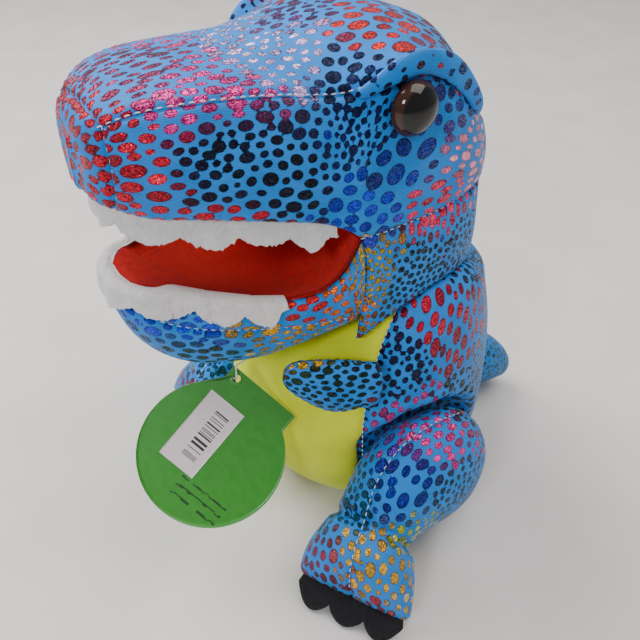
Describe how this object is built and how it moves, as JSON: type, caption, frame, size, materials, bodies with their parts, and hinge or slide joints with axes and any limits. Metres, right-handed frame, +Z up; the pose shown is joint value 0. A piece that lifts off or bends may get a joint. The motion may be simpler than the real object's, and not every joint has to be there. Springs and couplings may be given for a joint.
{
  "type": "stuffed dinosaur",
  "caption": "Sitting stuffed dinosaur of foil-printed velour with an open felt-lined mouth, felt teeth, small arms, legs, tail stub and a folded card hang tag.",
  "frame": {"origin": "on the floor plane under the seat, on the flat bottom of the belly panel, in the torso's middle plane", "axes": "+Z up, -Y the way the snout points, +X the toy's own left side"},
  "size_m": [0.2024, 0.2398, 0.2494],
  "materials": {
    "polyester_filling": "matte",
    "blue_foil_velour": "satin",
    "brow_foil_velour": "satin",
    "plain_yellow_velour": "matte",
    "red_felt": "matte",
    "white_felt": "matte",
    "black_felt": "matte",
    "eye_plastic": "polished",
    "washer_plastic": "matte",
    "green_card": "satin",
    "white_card": "matte",
    "sticker_paper": "matte",
    "clear_nylon": "gloss"
  },
  "bodies": {
    "torso": {"torso_stuffing": "polyester_filling", "belly_panel": "plain_yellow_velour", "torso_side_left": "blue_foil_velour", "torso_side_right": "blue_foil_velour", "nylon_fastener": "clear_nylon"},
    "head": {"head_stuffing": "polyester_filling", "head_top_panel": "blue_foil_velour", "face_side_left": "blue_foil_velour", "face_side_right": "blue_foil_velour", "nose_panel": "blue_foil_velour", "palate_lining": "red_felt", "upper_teeth": "white_felt", "throat_stuffing": "polyester_filling", "throat_panel_left": "blue_foil_velour", "throat_panel_right": "blue_foil_velour", "eye_left": "eye_plastic", "eye_right": "eye_plastic", "eye_washer_left": "washer_plastic", "eye_washer_right": "washer_plastic", "brow_fold_left": "brow_foil_velour", "brow_fold_right": "brow_foil_velour"},
    "jaw": {"jaw_stuffing": "polyester_filling", "jaw_side_left": "blue_foil_velour", "jaw_side_right": "blue_foil_velour", "chin_panel": "blue_foil_velour", "lower_mouth_lining": "red_felt", "lower_teeth": "white_felt"},
    "arm_left": {"arm_left_stuffing": "polyester_filling", "arm_left_front_panel": "blue_foil_velour", "arm_left_back_panel": "blue_foil_velour"},
    "arm_right": {"arm_right_stuffing": "polyester_filling", "arm_right_front_panel": "blue_foil_velour", "arm_right_back_panel": "blue_foil_velour"},
    "leg_left": {"leg_left_stuffing": "polyester_filling", "leg_left_outer_panel": "blue_foil_velour", "leg_left_inner_panel": "blue_foil_velour", "toe_felt_left": "black_felt"},
    "leg_right": {"leg_right_stuffing": "polyester_filling", "leg_right_outer_panel": "blue_foil_velour", "leg_right_inner_panel": "blue_foil_velour", "toe_felt_right": "black_felt"},
    "tail": {"tail_stuffing": "polyester_filling", "tail_panel_left": "blue_foil_velour", "tail_panel_right": "blue_foil_velour"},
    "tag_front": {"tag_front_leaf": "green_card", "barcode_sticker": "sticker_paper"},
    "tag_back": {"tag_back_leaf": "white_card"}
  },
  "joints": [
    {"name": "head_nod", "type": "hinge", "parent": "torso", "child": "head", "pos_m": [0, 0.005, 0.057], "axis": [1, 0, 0], "range_deg": [-8, 4]},
    {"name": "jaw_close", "type": "hinge", "parent": "head", "child": "jaw", "pos_m": [0, -0.0452, 0.174], "axis": [-1, 0, 0], "range_deg": [0, 7]},
    {"name": "arm_left_swing", "type": "hinge", "parent": "torso", "child": "arm_left", "pos_m": [0.0545, -0.0445, 0.104], "axis": [0, 0, 1], "range_deg": [0, 30]},
    {"name": "arm_right_swing", "type": "hinge", "parent": "torso", "child": "arm_right", "pos_m": [-0.0545, -0.0445, 0.104], "axis": [0, 0, -1], "range_deg": [0, 30]},
    {"name": "leg_left_lift", "type": "hinge", "parent": "torso", "child": "leg_left", "pos_m": [0.049, -0.017, 0.041], "axis": [-1, 0, 0], "range_deg": [0, 20]},
    {"name": "leg_right_lift", "type": "hinge", "parent": "torso", "child": "leg_right", "pos_m": [-0.049, -0.017, 0.041], "axis": [-1, 0, 0], "range_deg": [0, 20]},
    {"name": "tail_wag", "type": "hinge", "parent": "torso", "child": "tail", "pos_m": [0, 0.052, 0.031], "axis": [0, 0, 1], "range_deg": [-12, 12]},
    {"name": "tag_swing", "type": "hinge", "parent": "torso", "child": "tag_front", "pos_m": [0.008, -0.0865, 0.0955], "axis": [-0.4771, -0.8789, 0], "range_deg": [0, 20]},
    {"name": "tag_open", "type": "hinge", "parent": "tag_front", "child": "tag_back", "pos_m": [0.01752, -0.07745, 0.09012], "axis": [0.7113, 0.4185, -0.5648], "range_deg": [0, 8]}
  ]
}
